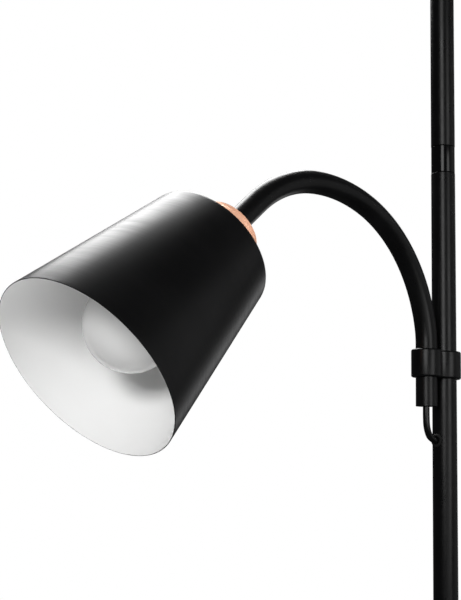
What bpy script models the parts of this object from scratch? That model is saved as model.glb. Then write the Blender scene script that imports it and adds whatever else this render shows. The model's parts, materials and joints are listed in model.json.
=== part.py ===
"""Torchiere floor lamp with a flexible reading arm.

Metres, +Z up. The origin is the centre of the base's underside, on the floor.
The pole stands on +Z. The reading arm bends in the XZ plane and reaches towards -X.
"""

import math

import bmesh
import bpy
from mathutils import Matrix, Vector

GAP = 0.0003  # clearance left between pieces that touch

# Base
BASE_RADIUS = 0.140
COVER_WALL = 0.0012
COVER_LIFT = 0.0012  # the cover's rim above the floor
COVER_SHOULDER = 0.009
COVER_EDGE_TOP = 0.0205
COVER_CROWN = 0.0248
FELT_THICKNESS = 0.0020
FELT_RADIUS = 0.134
WEIGHT_RADIUS = 0.136
WEIGHT_TOP = 0.0180
WEIGHT_SLOPE_RUN = 0.0050
WEIGHT_SLOPE_FALL = 0.0075
RECESS_RADIUS = 0.022
RECESS_TOP = 0.0115
CHANNEL_WIDTH = 0.009
CHANNEL_TOP = 0.012
CORD_HEIGHT = 0.0075  # the gland's axis above the floor
GLAND_HOLE = 0.0038
COLLAR_RADIUS = 0.0180
COLLAR_HEIGHT = 0.0105

# Pole
POLE_RADIUS = 0.0095
POLE_BORE = 0.0083
POLE_FOOT = COVER_CROWN + 0.0005
TUBE_LENGTH = 0.385
TUBE_COUNT = 4
BAND_LENGTH = 0.022
BAND_RADIUS = 0.00935
SPIGOT_RADIUS = POLE_BORE - GAP
SPIGOT_LENGTH = 0.015
THREAD_RADIUS = 0.005  # M10 studs and nipples
THREAD_HOLE = THREAD_RADIUS + GAP
THREAD_BORE = 0.0034
INSERT_LENGTH = 0.020
COUPLER_BORE = 0.0045
LEAD_HOLE = 0.0038

# Reading arm
CLAMP_BELOW_JOINT = 0.176  # from the third joint's upper edge down to the clamp's middle
CLAMP_HEIGHT = 0.0215
CLAMP_WALL = 0.0021
CLAMP_WEB = 0.0062  # half the thickness between the two rings
CLAMP_ROUNDING = 0.0013
SCREW_DROP = 0.0055  # from the clamp's middle down to its screws
SCREW_RADIUS = 0.0019
SCREW_LENGTH = 0.0036
SOCKET_RADIUS = 0.0010
SOCKET_DEPTH = 0.0016
ARM_OFFSET = 0.0225  # from the pole's axis to the arm's axis
SLEEVE_RADIUS = 0.00825
SLEEVE_BORE = 0.0065
HOSE_RADIUS = SLEEVE_BORE - 2 * GAP
HOSE_BORE = 0.0054
LEAD_RADIUS = 0.0026
STUB_LENGTH = 0.033  # how far the arm reaches below the clamp's middle
ARM_STRETCHES = [  # length, and degrees turned from upright towards the floor
    (STUB_LENGTH + 0.015, 0),
    (0.012, 10),
    (0.059, 30),
    (0.059, 31),
    (0.059, 26),
    (0.059, 35),
    (0.0348, 0),
]
DEGREES_PER_RING = 6.5  # how far the arm turns between two rings of its mesh
HOSE_SETBACK = 0.004  # how far the hose stops short of the bend point ahead
HOSE_START = 0.0072  # from the bend point behind to the hose, clear of the ball that turns there
LEAD_SETBACK = 0.0025  # how far the lead stops short of each bend point
FERRULE_BORE = 0.0045
LEAD_HOLE_BELOW_CLAMP = 0.0585

# Lamp heads, each measured from the face where it meets the arm or the pole
PLATE = 0.0008  # thickness of the shades' sheet
SHADE_BEND = 0.003  # outer radius between a shade's plate and its wall
CUP_WALL = 0.0010
CUP_SHOULDER = 0.0075
HOLDER_HOLE = 0.0202
HOLDER_RADIUS = 0.0193
CAP_RADIUS = 0.0132
GLASS = 0.0010
NECK_RADIUS = 0.0135
BULB_RADIUS = 0.030
BULB_FROM_RIM = 0.0456  # from the bulb's middle to the shade's rim
READING_HEAD = {"cup": (0.0240, 0.0242), "shade": (0.0470, 0.0660, 0.128)}
TORCH_HEAD = {"cup": (0.0300, 0.0320), "shade": (0.0560, 0.1250, 0.122)}

ROUND = 20  # sides of a small round piece
WIDE = 36  # sides of a large one
SMOOTH_ANGLE = math.radians(35)

BLACK = (0.012, 0.012, 0.013)
FINISHES = {  # colour, roughness, metallic
    "black_paint": (BLACK, 0.38, 0.0),
    "black_sleeve": ((0.014, 0.014, 0.015), 0.45, 0.0),
    "black_plastic": ((0.02, 0.02, 0.02), 0.5, 0.0),
    "copper": ((0.93, 0.55, 0.40), 0.16, 1.0),
    "cast_iron": ((0.08, 0.08, 0.08), 0.7, 0.6),
    "steel": ((0.6, 0.6, 0.6), 0.35, 1.0),
    "brass": ((0.78, 0.62, 0.32), 0.3, 1.0),
    "felt": ((0.05, 0.05, 0.05), 0.95, 0.0),
    "rubber": ((0.02, 0.02, 0.02), 0.8, 0.0),
    "opal": ((0.93, 0.93, 0.91), 0.3, 0.0),
}


def clear_scene():
    for obj in list(bpy.data.objects):
        bpy.data.objects.remove(obj)


def material(name, finish):
    colour, roughness, metallic = FINISHES[finish]
    mat = bpy.data.materials.new(name + "_" + finish)
    mat.use_nodes = True
    shader = mat.node_tree.nodes["Principled BSDF"]
    shader.inputs["Base Color"].default_value = (*colour, 1.0)
    shader.inputs["Roughness"].default_value = roughness
    shader.inputs["Metallic"].default_value = metallic
    return mat


def add_object(name, bm, finish):
    """Makes one named object from a mesh under construction, facing out and smooth where it is round."""
    bmesh.ops.recalc_face_normals(bm, faces=bm.faces)
    mesh = bpy.data.meshes.new(name)
    bm.to_mesh(mesh)
    bm.free()
    mesh.shade_smooth()
    mesh.set_sharp_from_angle(angle=SMOOTH_ANGLE)
    obj = bpy.data.objects.new(name, mesh)
    bpy.context.scene.collection.objects.link(obj)
    if finish:
        mesh.materials.append(material(name, finish))
    return obj


def skin(bm, rings, closed):
    """Joins rings of points, in order, into one skin. A ring of one point is a tip."""
    loops = [[bm.verts.new(point) for point in ring] for ring in rings]
    pairs = list(zip(loops, loops[1:]))
    if closed:
        pairs.append((loops[-1], loops[0]))
    for low, high in pairs:
        count = max(len(low), len(high))
        for i in range(count):
            corners = []
            for loop, index in ((low, i), (low, i + 1), (high, i + 1), (high, i)):
                corner = loop[index % len(loop)]
                if corner not in corners:
                    corners.append(corner)
            bm.faces.new(corners)


def ring(frame, radius, height, sides):
    """Points round the frame's Z axis; one point where the radius is 0."""
    if radius == 0:
        return [frame @ Vector((0, 0, height))]
    angles = [2 * math.pi * i / sides for i in range(sides)]
    return [frame @ Vector((radius * math.cos(a), radius * math.sin(a), height)) for a in angles]


def turned(name, profile, finish, frame=None, sides=ROUND):
    """A turned piece from (radius, height) points. A profile off the axis is closed into a ring."""
    bm = bmesh.new()
    frame = frame or Matrix()
    skin(bm, [ring(frame, r, z, sides) for r, z in profile], closed=profile[0][0] > 0)
    return add_object(name, bm, finish)


def tube(name, outer, bore, low, high, finish, frame=None, sides=ROUND):
    profile = [(outer, low), (outer, high), (bore, high), (bore, low)]
    return turned(name, profile, finish, frame, sides)


def arc(centre_r, centre_z, radius, start, end, steps):
    """(radius, height) points of a round, between two angles in degrees from the outward direction."""
    angles = [math.radians(start + (end - start) * i / steps) for i in range(steps + 1)]
    return [(centre_r + radius * math.cos(a), centre_z + radius * math.sin(a)) for a in angles]


def cutter(name, bm):
    obj = add_object(name, bm, None)
    obj.hide_render = True
    obj.display_type = "WIRE"
    return obj


def round_cutter(name, radius, low, high, frame, sides=16):
    profile = [(0, low), (radius, low), (radius, high), (0, high)]
    bm = bmesh.new()
    skin(bm, [ring(frame, r, z, sides) for r, z in profile], closed=False)
    return cutter(name, bm)


def cut(obj, tool):
    modifier = obj.modifiers.new(tool.name, "BOOLEAN")
    modifier.operation = "DIFFERENCE"
    modifier.solver = "EXACT"
    modifier.object = tool


def along_x(x, z, direction=1):
    """Frame whose Z axis points along +X, or along -X."""
    return Matrix.Translation((x, 0, z)) @ Matrix.Rotation(direction * math.pi / 2, 4, "Y")


def hex_nut(name, across_flats, bore, low, high, finish, frame=None):
    """Hexagon outside, round thread bore inside, with the same number of points on each ring."""
    frame = frame or Matrix()
    sides = 24
    flat = across_flats / 2
    outline = []
    for i in range(sides):
        angle = 2 * math.pi * i / sides
        from_flat = (angle + math.pi / 6) % (math.pi / 3) - math.pi / 6
        reach = flat / math.cos(from_flat)
        outline.append((reach * math.cos(angle), reach * math.sin(angle)))
    rings = [[frame @ Vector((x, y, z)) for x, y in outline] for z in (low, high)]
    rings += [ring(frame, bore, z, sides) for z in (high, low)]
    bm = bmesh.new()
    skin(bm, rings, closed=True)
    return add_object(name, bm, finish)


# ---------------------------------------------------------------- base


def base_felt():
    profile = [(0, 0), (FELT_RADIUS, 0), (FELT_RADIUS, FELT_THICKNESS), (0, FELT_THICKNESS)]
    turned("base_felt", profile, "felt", sides=WIDE)


def base_weight():
    """Cast disc with a recess for the nut underneath and a channel for the mains lead."""
    low = FELT_THICKNESS + GAP
    profile = [
        (WEIGHT_RADIUS, low),
        (WEIGHT_RADIUS, WEIGHT_TOP - WEIGHT_SLOPE_FALL),
        (WEIGHT_RADIUS - WEIGHT_SLOPE_RUN, WEIGHT_TOP),
        (THREAD_HOLE, WEIGHT_TOP),
        (THREAD_HOLE, RECESS_TOP),
        (RECESS_RADIUS, RECESS_TOP),
        (RECESS_RADIUS, low),
    ]
    weight = turned("base_weight", profile, "cast_iron", sides=WIDE)
    bm = bmesh.new()
    bmesh.ops.create_cube(bm, size=1)
    height = 2 * CORD_HEIGHT
    middle = Vector(((RECESS_RADIUS + WEIGHT_RADIUS) / 2, 0, CHANNEL_TOP - height / 2))
    bmesh.ops.scale(bm, vec=Vector((WEIGHT_RADIUS, CHANNEL_WIDTH, height)), verts=bm.verts)
    bmesh.ops.translate(bm, vec=middle, verts=bm.verts)
    cut(weight, cutter("weight_channel_cutter", bm))


def base_cover():
    shoulder = BASE_RADIUS - COVER_SHOULDER
    drop = COVER_EDGE_TOP - COVER_SHOULDER
    outside = [(BASE_RADIUS, COVER_LIFT)] + arc(shoulder, drop, COVER_SHOULDER, 0, 88, 3)
    outside.append((THREAD_HOLE, COVER_CROWN))
    inner_round = COVER_SHOULDER - COVER_WALL
    inside = [(THREAD_HOLE, COVER_CROWN - COVER_WALL)] + arc(shoulder, drop, inner_round, 88, 0, 3)
    inside.append((BASE_RADIUS - COVER_WALL, COVER_LIFT))
    cover = turned("base_cover", outside + inside, "black_paint", sides=WIDE)
    reach = 0.004
    frame = along_x(BASE_RADIUS, CORD_HEIGHT)
    tool = round_cutter("gland_cutter", GLAND_HOLE, -reach, reach, frame)
    cut(cover, tool)


def cord_gland():
    """Bush in the cover's side wall, where the mains lead comes out."""
    wall = BASE_RADIUS - COVER_WALL
    frame = along_x(0, CORD_HEIGHT)
    profile = [
        (0.0050, BASE_RADIUS + GAP),
        (0.0050, BASE_RADIUS + 0.0016),
        (0.0042, BASE_RADIUS + 0.0024),
        (0.0028, BASE_RADIUS + 0.0024),
        (0.0028, wall - 0.0018),
        (0.0043, wall - 0.0018),
        (0.0043, wall - 0.0005),
        (0.0035, wall - 0.0005),
        (0.0035, BASE_RADIUS + GAP),
    ]
    turned("cord_gland", profile, "rubber", frame, sides=16)


def base_fixing():
    tube("base_stud", THREAD_RADIUS, THREAD_BORE, 0.0045, POLE_FOOT + 0.018, "steel", sides=20)
    hex_nut("base_nut", 0.015, THREAD_HOLE, 0.0048, 0.0088, "steel")
    tube("base_washer", 0.014, THREAD_HOLE, 0.0091, 0.0109, "steel")


def base_collar():
    low = POLE_FOOT
    inner = POLE_RADIUS + GAP
    profile = [
        (COLLAR_RADIUS, low),
        (COLLAR_RADIUS, low + 0.004),
        (COLLAR_RADIUS - 0.0015, low + 0.0065),
        (COLLAR_RADIUS - 0.0060, low + COLLAR_HEIGHT - 0.0005),
        (inner, low + COLLAR_HEIGHT),
        (inner, low),
    ]
    turned("base_collar", profile, "black_paint", sides=28)


# ---------------------------------------------------------------- pole


def tube_foot(index):
    """Height of the lower end of a pole tube, counted from 0 at the base."""
    return POLE_FOOT + index * (TUBE_LENGTH + BAND_LENGTH)


CLAMP_HEIGHT_ABOVE_FLOOR = tube_foot(3) - CLAMP_BELOW_JOINT
LEAD_HOLE_HEIGHT = CLAMP_HEIGHT_ABOVE_FLOOR - LEAD_HOLE_BELOW_CLAMP
POLE_TOP = tube_foot(TUBE_COUNT - 1) + TUBE_LENGTH


def pole_tubes():
    for index in range(TUBE_COUNT):
        low = tube_foot(index)
        name = "pole_tube_" + str(index + 1)
        obj = tube(name, POLE_RADIUS, POLE_BORE, low, low + TUBE_LENGTH, "black_paint")
        if low < LEAD_HOLE_HEIGHT < low + TUBE_LENGTH:
            frame = along_x(-POLE_RADIUS, LEAD_HOLE_HEIGHT)
            cut(obj, round_cutter("lead_hole_cutter", LEAD_HOLE, -0.004, 0.004, frame))


def pole_couplers():
    """Threaded joiners: a spigot up, a spigot down and the band that shows between two tubes."""
    for index in range(TUBE_COUNT - 1):
        low = tube_foot(index) + TUBE_LENGTH + GAP
        high = tube_foot(index + 1) - GAP
        profile = [
            (SPIGOT_RADIUS, low - SPIGOT_LENGTH),
            (SPIGOT_RADIUS, low),
            (BAND_RADIUS, low),
            (BAND_RADIUS, high),
            (SPIGOT_RADIUS, high),
            (SPIGOT_RADIUS, high + SPIGOT_LENGTH),
            (COUPLER_BORE, high + SPIGOT_LENGTH),
            (COUPLER_BORE, low - SPIGOT_LENGTH),
        ]
        turned("pole_coupler_" + str(index + 1), profile, "black_paint")


def pole_inserts():
    """Threaded inserts in the pole's two ends, for the base's stud and the upper head's nipple."""
    for name, low in (("bottom", POLE_FOOT), ("top", POLE_TOP - INSERT_LENGTH)):
        high = low + INSERT_LENGTH
        tube("pole_" + name + "_insert", SPIGOT_RADIUS, THREAD_HOLE, low, high, "steel")


def lead_grommet():
    """Rubber bush in the pole wall, where the arm's lead goes in."""
    frame = along_x(0, LEAD_HOLE_HEIGHT, -1)
    profile = [
        (0.0050, POLE_RADIUS + GAP),
        (0.0050, POLE_RADIUS + 0.0014),
        (0.0042, POLE_RADIUS + 0.0021),
        (0.0030, POLE_RADIUS + 0.0021),
        (0.0030, POLE_BORE - 0.0027),
        (0.0044, POLE_BORE - 0.0027),
        (0.0044, POLE_BORE - 0.0016),
        (0.0035, POLE_BORE - 0.0016),
        (0.0035, POLE_RADIUS + GAP),
    ]
    turned("lead_grommet", profile, "rubber", frame, sides=16)


# ---------------------------------------------------------------- clamp and arm


def clamp_outline():
    """Figure of eight round the pole (at 0) and the arm (at -ARM_OFFSET), joined by a web."""
    pole_ring = POLE_RADIUS + CLAMP_WALL
    arm_ring = SLEEVE_RADIUS + CLAMP_WALL
    points = []
    for centre, radius, facing in ((0, pole_ring, 0), (-ARM_OFFSET, arm_ring, math.pi)):
        waist = math.asin(CLAMP_WEB / radius)
        steps = 10
        for i in range(steps + 1):
            angle = facing - (math.pi - waist) + 2 * (math.pi - waist) * i / steps
            points.append((centre + radius * math.cos(angle), radius * math.sin(angle)))
    return points


def arm_clamp():
    low = CLAMP_HEIGHT_ABOVE_FLOOR - CLAMP_HEIGHT / 2
    bm = bmesh.new()
    outline = clamp_outline()
    skin(bm, [[(x, y, low + z) for x, y in outline] for z in (0, CLAMP_HEIGHT)], False)
    bottom = [v for v in bm.verts if v.co.z < CLAMP_HEIGHT_ABOVE_FLOOR]
    top = [v for v in bm.verts if v.co.z > CLAMP_HEIGHT_ABOVE_FLOOR]
    bm.faces.new(bottom)
    bm.faces.new(top)
    bm.normal_update()
    rims = [e for e in bm.edges if len({round(v.co.z, 5) for v in e.verts}) == 1]
    bmesh.ops.bevel(bm, geom=rims, offset=CLAMP_ROUNDING, segments=2, affect="EDGES", profile=0.5)
    clamp = add_object("arm_clamp", bm, "black_paint")
    reach = CLAMP_HEIGHT
    for name, x, radius in (
        ("clamp_pole_cutter", 0, POLE_RADIUS + GAP),
        ("clamp_arm_cutter", -ARM_OFFSET, SLEEVE_RADIUS + GAP),
    ):
        frame = Matrix.Translation((x, 0, CLAMP_HEIGHT_ABOVE_FLOOR))
        cut(clamp, round_cutter(name, radius, -reach, reach, frame, sides=ROUND))
    for name, frame in zip(("pole_screw_cutter", "arm_screw_cutter"), screw_frames()):
        cut(clamp, round_cutter(name, SCREW_RADIUS + GAP, 0.004, 0.016, frame, sides=12))


def screw_frames():
    """Frames whose Z axis runs out through the clamp: through the pole ring, then the arm ring."""
    height = CLAMP_HEIGHT_ABOVE_FLOOR - SCREW_DROP
    outward_y = Matrix.Rotation(-math.pi / 2, 4, "X")
    return along_x(0, height), Matrix.Translation((-ARM_OFFSET, 0, height)) @ outward_y


def clamp_screws():
    """Socket screws that lock the clamp on the pole and on the arm, each with its recess."""
    chamfer = 0.0004
    seats = (POLE_RADIUS, SLEEVE_RADIUS)
    for name, frame, seat in zip(("clamp_pole_screw", "clamp_arm_screw"), screw_frames(), seats):
        tail = seat + 2 * GAP
        head = tail + SCREW_LENGTH
        profile = [
            (0, tail),
            (SCREW_RADIUS, tail),
            (SCREW_RADIUS, head - chamfer),
            (SCREW_RADIUS - chamfer, head),
            (SOCKET_RADIUS, head),
            (SOCKET_RADIUS, head - SOCKET_DEPTH),
            (0, head - SOCKET_DEPTH),
        ]
        turned(name, profile, "steel", frame, sides=12)


def arm_frame(distance):
    """Frame on the arm's centreline: +Z along it, +Y square to the plane that it bends in."""
    frame = Matrix.Translation((-ARM_OFFSET, 0, CLAMP_HEIGHT_ABOVE_FLOOR - STUB_LENGTH))
    for length, turn in ARM_STRETCHES:
        run = min(distance, length)
        half = math.radians(turn) * run / length / 2
        chord = run * math.sin(half) / half if half else run
        half_turn = Matrix.Rotation(-half, 4, "Y")
        frame = frame @ half_turn @ Matrix.Translation((0, 0, chord)) @ half_turn
        distance -= run
        if distance <= 0:
            break
    return frame


def bend_points():
    """Distances along the arm of its two ends and of the points that it bends at."""
    lengths = [length for length, _ in ARM_STRETCHES]
    points = [0.0, lengths[0] + lengths[1]]
    for length in lengths[2:]:
        points.append(points[-1] + length)
    return points


def stations():
    """Distances along the arm where every sleeve, hose and lead has a ring, so that their facets agree."""
    found = [0.0]
    for length, turn in ARM_STRETCHES:
        steps = max(1, round(turn / DEGREES_PER_RING))
        begin = found[-1]
        found += [begin + length * (i + 1) / steps for i in range(steps)]
    return found


def run_of(radius, start, end, sides):
    """Rings of one radius along the arm's centreline, from start to end or back."""
    between = [d for d in stations() if min(start, end) + GAP < d < max(start, end) - GAP]
    if end < start:
        between.reverse()
    return [ring(arm_frame(d), radius, 0, sides) for d in [start] + between + [end]]


def sleeve_piece(index, start, end, has_socket, has_ball):
    """One length of sleeve: its far end a ball about the next bend point, its near end a socket."""
    sides = 16
    cup = SLEEVE_RADIUS + GAP
    mouth = math.sqrt(cup**2 - SLEEVE_RADIUS**2) if has_socket else 0
    throat = math.sqrt(cup**2 - SLEEVE_BORE**2) if has_socket else 0
    crown = math.sqrt(SLEEVE_RADIUS**2 - SLEEVE_BORE**2)
    rings = run_of(SLEEVE_RADIUS, start + mouth, end, sides)
    if has_ball:
        middle = (SLEEVE_RADIUS + SLEEVE_BORE) / 2
        rings.append(ring(arm_frame(end), middle, math.sqrt(SLEEVE_RADIUS**2 - middle**2), sides))
        rings.append(ring(arm_frame(end), SLEEVE_BORE, crown, sides))
    rings += run_of(SLEEVE_BORE, end, start + throat, sides)
    if has_socket:
        middle = (SLEEVE_RADIUS + SLEEVE_BORE) / 2
        rings.append(ring(arm_frame(start), middle, math.sqrt(cup**2 - middle**2), sides))
    bm = bmesh.new()
    skin(bm, rings, closed=True)
    obj = add_object("arm_sleeve_" + str(index), bm, "black_sleeve")
    set_origin(obj, arm_frame(start).translation)


def set_origin(obj, place):
    """Moves the object's origin to its bend point and leaves its shape where it is."""
    obj.data.transform(Matrix.Translation(-place))
    obj.location = place


def flexible_arm():
    points = bend_points()
    last = len(points) - 2
    for i, (start, end) in enumerate(zip(points, points[1:])):
        sleeve_piece(i + 1, start, end, has_socket=i > 0, has_ball=i < last)
        near = start + (HOSE_START if i else STUB_LENGTH)
        far = end - (HOSE_SETBACK if i < last else GAP)
        rings = run_of(HOSE_RADIUS, near, far, 10) + run_of(HOSE_BORE, far, near, 10)
        bm = bmesh.new()
        skin(bm, rings, closed=True)
        set_origin(add_object("arm_hose_" + str(i + 1), bm, "steel"), arm_frame(start).translation)
    for i, (start, end) in enumerate(zip(points[1:-2], points[2:-1])):
        lead_piece(i + 2, start + LEAD_SETBACK, end - LEAD_SETBACK)
    lead_piece(last + 1, points[-2] + LEAD_SETBACK, points[-1] + 0.011)


def lead_piece(index, start, end):
    """The length of lead inside one length of sleeve. The last one goes on straight into the holder."""
    arm_end = bend_points()[-1]
    inside = min(end, arm_end)
    rings = run_of(LEAD_RADIUS, start, inside, 8)
    if end > arm_end:
        rings.append(ring(arm_frame(arm_end), LEAD_RADIUS, end - arm_end, 8))
    first = [arm_frame(start).translation]
    tip = [arm_frame(inside) @ Vector((0, 0, end - inside))]
    bm = bmesh.new()
    skin(bm, [first] + rings + [tip], False)
    set_origin(add_object("arm_lead_" + str(index), bm, "black_plastic"), arm_frame(start).translation)


def arm_ferrule():
    low = CLAMP_HEIGHT_ABOVE_FLOOR - STUB_LENGTH + 0.0004
    high = CLAMP_HEIGHT_ABOVE_FLOOR - 2 * GAP
    frame = Matrix.Translation((-ARM_OFFSET, 0, 0))
    tube("arm_ferrule", HOSE_RADIUS, FERRULE_BORE, low, high, "steel", frame, sides=16)


def smooth_through(points, steps):
    """Catmull-Rom curve through the route's points."""
    padded = [2 * points[0] - points[1]] + points + [2 * points[-1] - points[-2]]
    curve = []
    for a, b, c, d in zip(padded, padded[1:], padded[2:], padded[3:]):
        for i in range(steps):
            t = i / steps
            curve.append(0.5 * (2 * b + (c - a) * t + (2 * a - 5 * b + 4 * c - d) * t**2
                                + (3 * b - a - 3 * c + d) * t**3))
    return curve + [points[-1]]


def arm_lead():
    """The lead from the first bend point, down out of the stub, round and into the pole."""
    top = arm_frame(bend_points()[1] - LEAD_SETBACK).translation
    hole = LEAD_HOLE_HEIGHT
    route = [
        top,
        arm_frame(STUB_LENGTH + 0.015).translation,
        Vector((-ARM_OFFSET, 0, hole + 0.050)),
        Vector((-0.0229, 0, hole + 0.030)),
        Vector((-0.0230, 0, hole + 0.018)),
        Vector((-0.0222, 0, hole + 0.0095)),
        Vector((-0.0190, 0, hole + 0.0030)),
        Vector((-0.0135, 0, hole + 0.0001)),
        Vector((-0.0095, 0, hole)),
        Vector((-0.0055, 0, hole)),
        Vector((-0.0012, 0, hole - 0.0022)),
        Vector((0.0012, 0, hole - 0.0080)),
        Vector((0.0018, 0, hole - 0.0180)),
        Vector((0.0018, 0, hole - 0.0380)),
    ]
    points = smooth_through(route, 3)
    curve = bpy.data.curves.new("arm_lead_1", "CURVE")
    curve.dimensions = "3D"
    curve.bevel_depth = LEAD_RADIUS
    curve.bevel_resolution = 2
    curve.use_fill_caps = True
    spline = curve.splines.new("POLY")
    spline.points.add(len(points) - 1)
    for slot, point in zip(spline.points, points):
        slot.co = (*point, 1)
    obj = bpy.data.objects.new("arm_lead_1", curve)
    curve.materials.append(material("arm_lead_1", "black_plastic"))
    bpy.context.scene.collection.objects.link(obj)


# ---------------------------------------------------------------- lamp heads


def head_cup(name, frame, radius, height):
    """Spun cup that hides the back of the lamp holder. Its closed end meets the arm or the pole."""
    middle = radius - CUP_SHOULDER
    profile = [(THREAD_HOLE, 0)] + arc(middle, CUP_SHOULDER, CUP_SHOULDER, -90, 0, 4)
    profile += [(radius, height), (radius - CUP_WALL, height)]
    profile += arc(middle, CUP_SHOULDER, CUP_SHOULDER - CUP_WALL, 0, -90, 4)
    profile.append((THREAD_HOLE, CUP_WALL))
    turned(name, profile, "copper", frame, sides=24)


def head_holder(prefix, frame, plate):
    """Lamp holder: closed back inside the cup, flange behind the shade, skirt through the shade."""
    back = plate - 0.0180
    profile = [
        (THREAD_HOLE, back),
        (0.0125, back),
        (0.0190, back + 0.010),
        (0.0190, plate - 0.0035),
        (0.0225, plate - 0.0035),
        (0.0225, plate - 0.0007),
        (HOLDER_RADIUS, plate - 0.0007),
        (HOLDER_RADIUS, plate + 0.0310),
        (0.0165, plate + 0.0310),
        (0.0155, plate + 0.0290),
        (0.0155, plate - 0.0105),
        (THREAD_HOLE, plate - 0.0105),
    ]
    turned(prefix + "_holder", profile, "black_plastic", frame)
    profile = [
        (0.0030, plate - 0.0100),
        (0.0148, plate - 0.0100),
        (0.0148, plate + 0.0230),
        (0.0139, plate + 0.0230),
        (0.0139, plate - 0.0080),
        (0.0030, plate - 0.0080),
    ]
    turned(prefix + "_contact_shell", profile, "brass", frame, sides=20)


def head_shade(name, frame, small, large, length, plate):
    """Spun cone: a flat plate with the holder's hole, a tight round and a straight flared wall."""
    flare = math.degrees(math.atan2(large - small, length))
    centre = small - SHADE_BEND * math.tan(math.radians(45 + flare / 2))
    middle = plate + SHADE_BEND
    rim = plate + length
    outside = [(HOLDER_HOLE, plate)] + arc(centre, middle, SHADE_BEND, -90, -flare, 3)
    outside.append((large, rim))
    wall = PLATE / math.cos(math.radians(flare))
    inside = [(large - wall, rim)] + arc(centre, middle, SHADE_BEND - PLATE, -flare, -90, 3)
    inside.append((HOLDER_HOLE, plate + PLATE))
    return turned(name, outside + inside, "black_paint", frame, sides=WIDE)


def shade_ring(name, frame, plate):
    """Threaded ring that pulls the shade against the holder's flange from inside."""
    foot = 0.0260
    body = 0.0225
    low = plate + PLATE + GAP
    inner = HOLDER_RADIUS + GAP
    profile = [
        (inner, low),
        (foot, low),
        (foot, low + 0.0015),
        (body, low + 0.0030),
        (body, low + 0.0080),
        (inner, low + 0.0080),
    ]
    turned(name, profile, "black_plastic", frame)


def bulb(prefix, frame, plate, middle):
    """Screw cap and opal globe. The globe is a thin shell, open at the neck."""
    tip = plate - 0.0075
    cap_end = plate + 0.0260
    cap = [
        (0, tip),
        (0.0045, tip),
        (0.0060, tip + 0.0025),
        (CAP_RADIUS, tip + 0.0060),
        (CAP_RADIUS, cap_end),
        (0, cap_end),
    ]
    turned(prefix + "_bulb_cap", cap, "steel", frame, sides=20)
    neck = cap_end + GAP
    globe = []
    for inset in (0, GLASS):
        side = [(NECK_RADIUS - inset, neck), (NECK_RADIUS + 0.002 - inset, neck + 0.008)]
        side += arc(0, middle, BULB_RADIUS - inset, -52, 75, 5)
        side.append((0, middle + BULB_RADIUS - inset))
        globe.append(side)
    outer, inner = globe
    turned(prefix + "_bulb_globe", inner[::-1] + outer, "opal", frame)


def lamp_head(prefix, frame, cup, shade):
    """One head along the frame's +Z, which leaves the arm or the pole and points out of the shade."""
    cup_radius, cup_height = cup
    small, large, length = shade
    plate = cup_height + GAP
    head_cup(prefix + "_cup", frame, cup_radius, cup_height)
    tube(prefix + "_nipple", THREAD_RADIUS, THREAD_BORE, -0.012, plate - 0.0115, "steel", frame, sides=20)
    hex_nut(prefix + "_locknut", 0.014, THREAD_HOLE, CUP_WALL + GAP, CUP_WALL + 0.0040, "steel", frame)
    head_holder(prefix, frame, plate)
    head_shade(prefix + "_shade", frame, small, large, length, plate)
    shade_ring(prefix + "_shade_ring", frame, plate)
    bulb(prefix, frame, plate, plate + length - BULB_FROM_RIM)


def main():
    clear_scene()
    base_felt()
    base_weight()
    base_cover()
    cord_gland()
    base_fixing()
    base_collar()
    pole_tubes()
    pole_couplers()
    pole_inserts()
    lead_grommet()
    arm_clamp()
    clamp_screws()
    arm_ferrule()
    flexible_arm()
    arm_lead()
    lamp_head("reading", arm_frame(bend_points()[-1] + GAP), **READING_HEAD)
    lamp_head("torch", Matrix.Translation((0, 0, POLE_TOP + GAP)), **TORCH_HEAD)


main()
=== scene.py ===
"""Looks of the torchiere floor lamp with a flexible reading arm.

Metres, +Z up, in the CAD model's frame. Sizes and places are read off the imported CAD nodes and
joints, and each fine piece stands for the faceted CAD node of the same shape.
"""

import json
import math
import bmesh
import bpy
from mathutils import Matrix, Vector

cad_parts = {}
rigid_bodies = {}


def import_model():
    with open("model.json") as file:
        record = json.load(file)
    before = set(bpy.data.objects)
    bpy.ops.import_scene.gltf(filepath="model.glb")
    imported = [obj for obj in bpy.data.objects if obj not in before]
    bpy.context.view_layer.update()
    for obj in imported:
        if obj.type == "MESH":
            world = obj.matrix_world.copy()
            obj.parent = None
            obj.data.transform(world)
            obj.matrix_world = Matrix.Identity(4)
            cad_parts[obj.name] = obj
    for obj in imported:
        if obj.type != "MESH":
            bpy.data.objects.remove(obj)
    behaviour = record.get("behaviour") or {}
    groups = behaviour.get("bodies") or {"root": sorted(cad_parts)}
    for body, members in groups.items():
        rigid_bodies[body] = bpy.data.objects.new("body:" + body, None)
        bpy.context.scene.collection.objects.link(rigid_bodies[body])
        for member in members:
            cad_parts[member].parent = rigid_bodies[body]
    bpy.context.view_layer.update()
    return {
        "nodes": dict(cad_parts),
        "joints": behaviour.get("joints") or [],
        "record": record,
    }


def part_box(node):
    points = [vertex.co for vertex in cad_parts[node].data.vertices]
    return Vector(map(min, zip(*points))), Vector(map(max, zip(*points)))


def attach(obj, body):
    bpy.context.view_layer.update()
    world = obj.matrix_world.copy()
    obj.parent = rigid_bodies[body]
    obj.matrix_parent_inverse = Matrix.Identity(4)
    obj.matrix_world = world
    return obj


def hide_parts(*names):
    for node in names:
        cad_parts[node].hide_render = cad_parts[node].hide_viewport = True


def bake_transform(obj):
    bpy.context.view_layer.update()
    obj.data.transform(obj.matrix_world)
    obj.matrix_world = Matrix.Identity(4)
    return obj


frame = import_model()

NODES = frame["nodes"]
JOINTS = frame["joints"]
CAD_SLOTS = {part["node"]: part["material_slot"] for part in frame["record"]["subparts"]}

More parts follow.
